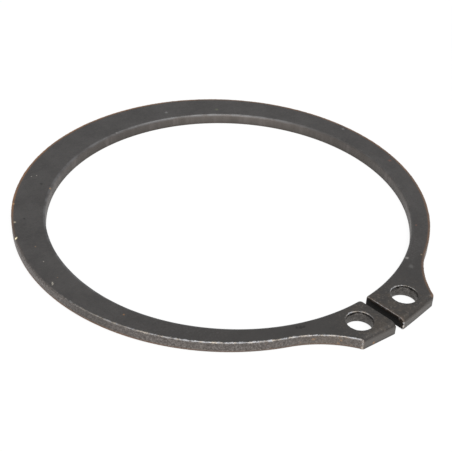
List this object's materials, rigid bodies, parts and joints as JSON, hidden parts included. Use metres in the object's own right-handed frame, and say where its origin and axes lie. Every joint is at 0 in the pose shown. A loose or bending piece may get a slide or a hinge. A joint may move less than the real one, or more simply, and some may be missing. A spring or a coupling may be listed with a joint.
{
  "type": "circlip",
  "caption": "External circlip: open spring-steel ring with a tapered band and drilled lugs, sprung into a shaft's groove so that parts can't slide along it.",
  "frame": {"origin": "on the bore's axis, in the plane of the lower face", "axes": "+Z along the bore's axis, up from the lower face; -Y towards the lugs and the slit; +X towards the right lug"},
  "size_m": [0.054, 0.0576, 0.0015],
  "materials": {
    "phosphated_steel": "dark grey phosphate on spring steel, matte on the faces, sheared grey walls, worn bright along the sharp edges"
  },
  "bodies": {
    "root": {"circlip": "phosphated_steel"}
  },
  "joints": []
}
